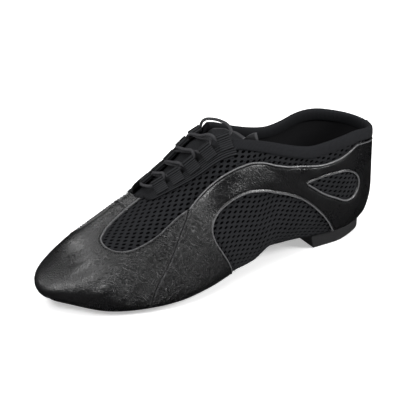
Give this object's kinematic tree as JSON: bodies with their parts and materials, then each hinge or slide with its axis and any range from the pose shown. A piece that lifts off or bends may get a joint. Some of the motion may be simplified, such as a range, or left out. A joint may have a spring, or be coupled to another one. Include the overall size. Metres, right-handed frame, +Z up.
{
  "type": "jazz shoe",
  "caption": "Low black lace-up jazz shoe with split sole, mesh panels under leather overlays, elastic lace loops and a soft knit collar.",
  "frame": {"origin": "middle of the bounding box, on the floor plane that the heel and forefoot stand on", "axes": "+X towards the toe, +Y towards the outer side of this left shoe, +Z up"},
  "size_m": [0.2506, 0.0892, 0.1035],
  "materials": {
    "mesh": "matte open sports mesh over a dark backing",
    "leather": "soft black leather with a low sheen",
    "elastic": "ribbed knit elastic",
    "cord": "round braided cord",
    "lining": "dark woven lining",
    "sole": "matte suede-like rubber",
    "heel": "matte rubber block"
  },
  "bodies": {
    "root": {"upper": "mesh", "vamp": "leather", "quarter_outer": "leather", "quarter_inner": "leather", "collar_binding": "elastic", "eyestay_outer": "elastic", "eyestay_inner": "elastic", "lace_loop_outer_1": "elastic", "lace_loop_outer_2": "elastic", "lace_loop_outer_3": "elastic", "lace_loop_outer_4": "elastic", "lace_loop_outer_5": "elastic", "lace_loop_inner_1": "elastic", "lace_loop_inner_2": "elastic", "lace_loop_inner_3": "elastic", "lace_loop_inner_4": "elastic", "lace_loop_inner_5": "elastic", "lace": "cord", "tongue": "mesh", "insole": "lining", "forefoot_sole": "sole", "heel": "heel"}
  },
  "joints": []
}
